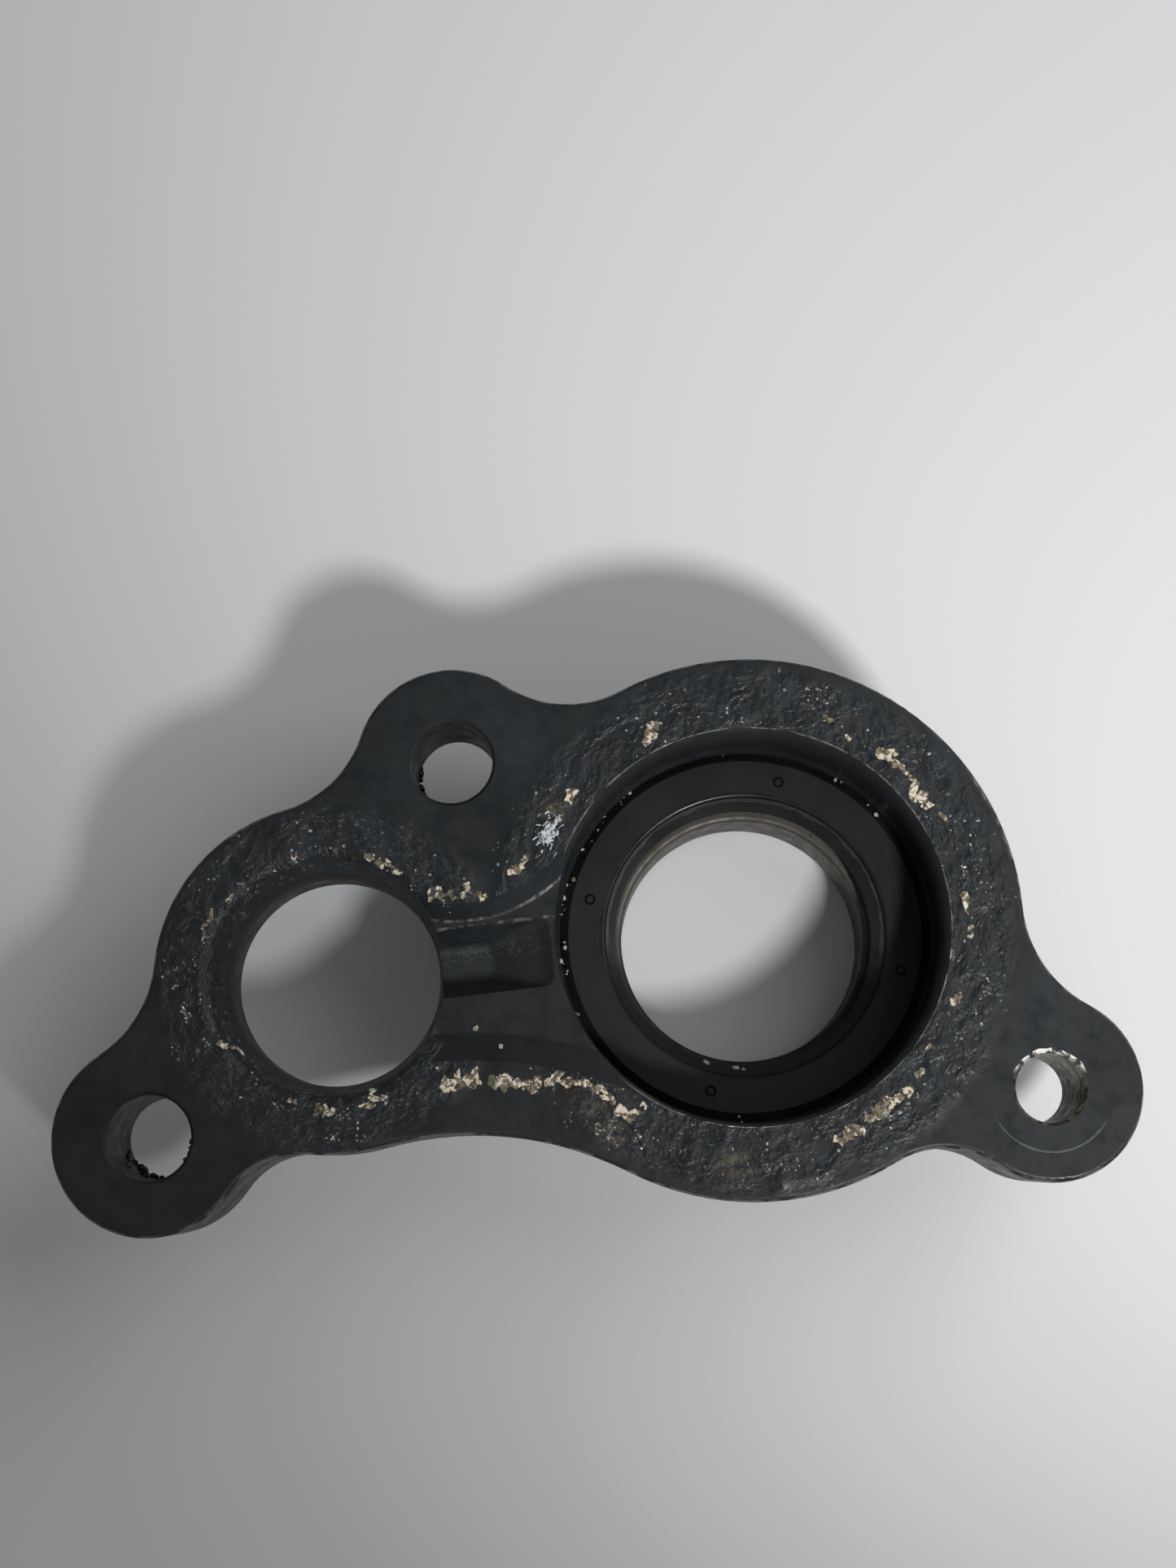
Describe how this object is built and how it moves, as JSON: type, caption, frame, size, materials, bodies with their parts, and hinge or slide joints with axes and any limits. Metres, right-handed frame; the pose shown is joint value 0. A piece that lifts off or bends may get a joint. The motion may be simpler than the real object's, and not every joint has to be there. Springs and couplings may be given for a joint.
{
  "type": "flange mount bearing",
  "caption": "Cast three-eared flange housing with a sealed ball bearing in its main bore, a second open bore beside it and a cast pocket between the two.",
  "frame": {"origin": "where the axis of the main bore crosses the gasket face", "axes": "+Z out of the gasket face along the main bore's axis, +X from the second bore's end of the flange towards the small ear"},
  "size_m": [0.1666, 0.0898, 0.0375],
  "materials": {
    "housing_paint": "black paint over cast iron, satin, worn and speckled with old gasket",
    "seal_rubber": "moulded nitrile rubber, matt",
    "case_steel": "pressed sheet steel",
    "spring_steel": "spring steel",
    "race_steel": "ground bearing steel under an old brownish oil film",
    "cage_steel": "pressed sheet steel",
    "ball_steel": "polished bearing steel"
  },
  "bodies": {
    "housing": {"flange_housing": "housing_paint", "seal_case": "case_steel", "seal_body": "seal_rubber", "garter_spring": "spring_steel", "bearing_outer_ring": "race_steel"},
    "inner_ring": {"bearing_inner_ring": "race_steel"},
    "ball_set": {"cage_upper": "cage_steel", "cage_lower": "cage_steel", "cage_rivets": "cage_steel", "ball_01": "ball_steel", "ball_02": "ball_steel", "ball_03": "ball_steel", "ball_04": "ball_steel", "ball_05": "ball_steel", "ball_06": "ball_steel", "ball_07": "ball_steel", "ball_08": "ball_steel", "ball_09": "ball_steel", "ball_10": "ball_steel", "ball_11": "ball_steel", "ball_12": "ball_steel", "ball_13": "ball_steel", "ball_14": "ball_steel", "ball_15": "ball_steel", "ball_16": "ball_steel"}
  },
  "joints": [
    {"name": "inner_ring_spin", "type": "hinge", "parent": "housing", "child": "inner_ring", "pos_m": [0, 0, -0.0302], "axis": [0, 0, 1], "continuous": true},
    {"name": "ball_set_orbit", "type": "hinge", "parent": "housing", "child": "ball_set", "pos_m": [0, 0, -0.0302], "axis": [0, 0, 1], "continuous": true}
  ],
  "couplings": [
    {"joint": "ball_set_orbit", "follows": "inner_ring_spin", "ratio": 0.43775}
  ]
}
